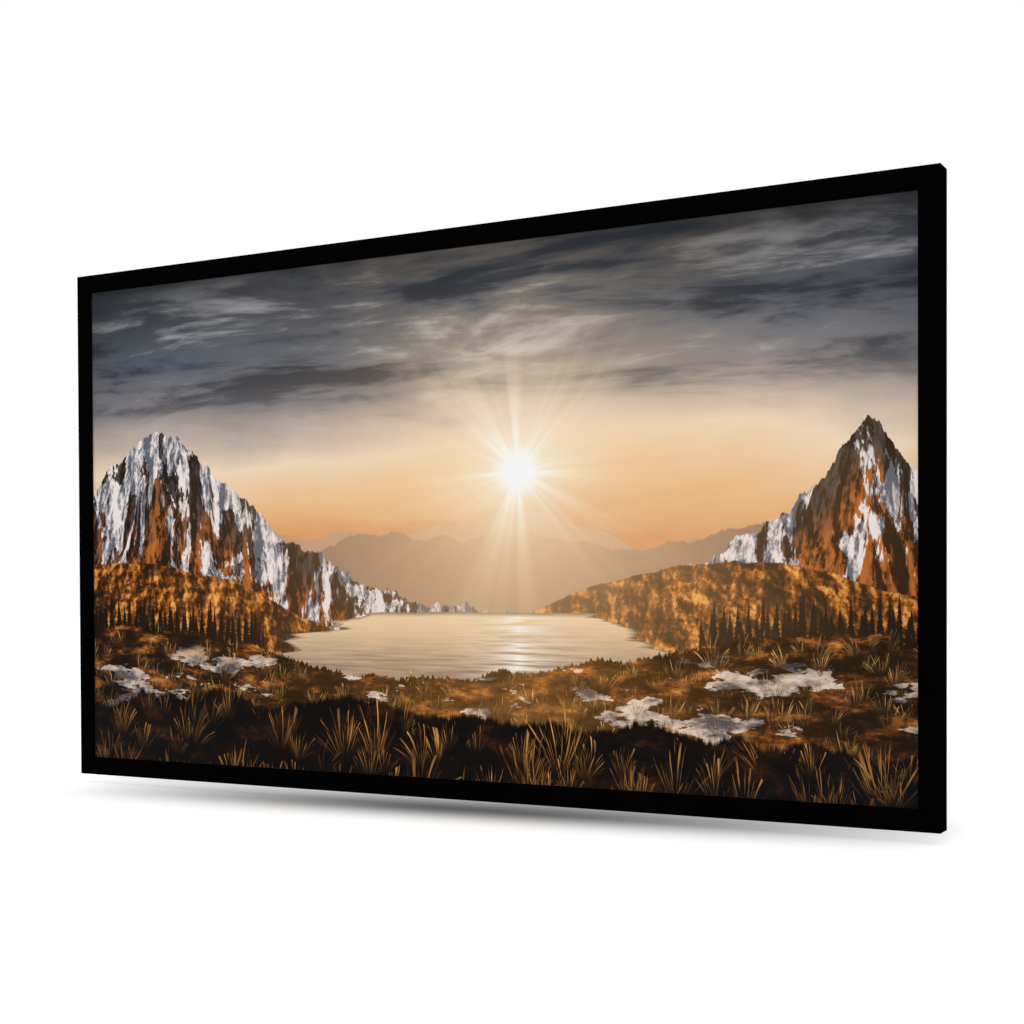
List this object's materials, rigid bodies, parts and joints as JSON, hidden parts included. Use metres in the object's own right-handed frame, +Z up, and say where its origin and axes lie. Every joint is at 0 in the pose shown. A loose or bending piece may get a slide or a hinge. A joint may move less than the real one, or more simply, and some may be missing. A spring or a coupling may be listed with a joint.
{
  "type": "fixed frame projector screen",
  "caption": "Wall-hung projection screen: a woven cloth stretched by springs in a deep black rectangular frame with mitred corners and hook-on wall brackets.",
  "frame": {"origin": "on the wall, at the middle of the back face of the middle top wall bracket, between its two screw slots", "axes": "+X to the right of someone who looks at the picture, +Y into the wall, +Z up; the picture faces -Y"},
  "size_m": [3.461, 0.084, 2.008],
  "materials": {
    "rail": "black velvet wrap on aluminium",
    "steel": "bright zinc plated",
    "aluminium": "mill finish",
    "bracket": "zinc plated sheet",
    "picture": "matt woven screen cloth with a picture on it",
    "backing": "matt black open weave",
    "edging": "coated webbing",
    "rod": "zinc plated rod and spring wire",
    "knob": "moulded, finely textured"
  },
  "bodies": {
    "root": {"bar_shoe_bottom": "bracket", "bar_shoe_top": "bracket", "black_backing": "backing", "bottom_rail_left": "rail", "bottom_rail_right": "rail", "corner_plate_front_bottom_left": "steel", "corner_plate_front_bottom_right": "steel", "corner_plate_front_top_left": "steel", "corner_plate_front_top_right": "steel", "corner_plate_rear_bottom_left": "steel", "corner_plate_rear_bottom_right": "steel", "corner_plate_rear_top_left": "steel", "corner_plate_rear_top_right": "steel", "edging_bottom": "edging", "edging_left": "edging", "edging_right": "edging", "edging_top": "edging", "screen_fabric": "picture", "shoe_screw_bottom_left": "steel", "shoe_screw_bottom_right": "steel", "shoe_screw_top_left": "steel", "shoe_screw_top_right": "steel", "side_rail_left": "rail", "side_rail_right": "rail", "splice_plate_front_bottom": "steel", "splice_plate_front_top": "steel", "splice_plate_rear_bottom": "steel", "splice_plate_rear_top": "steel", "support_bar": "aluminium", "tension_rod_bottom_left": "rod", "tension_rod_bottom_right": "rod", "tension_rod_left": "rod", "tension_rod_right": "rod", "tension_rod_top_left": "rod", "tension_rod_top_right": "rod", "thumb_screw_bottom": "knob", "thumb_screw_top": "knob", "top_rail_left": "rail", "top_rail_right": "rail", "wall_bracket_bottom_left": "bracket", "wall_bracket_bottom_right": "bracket", "wall_bracket_top_left": "bracket", "wall_bracket_top_middle": "bracket", "wall_bracket_top_right": "bracket"}
  },
  "joints": []
}
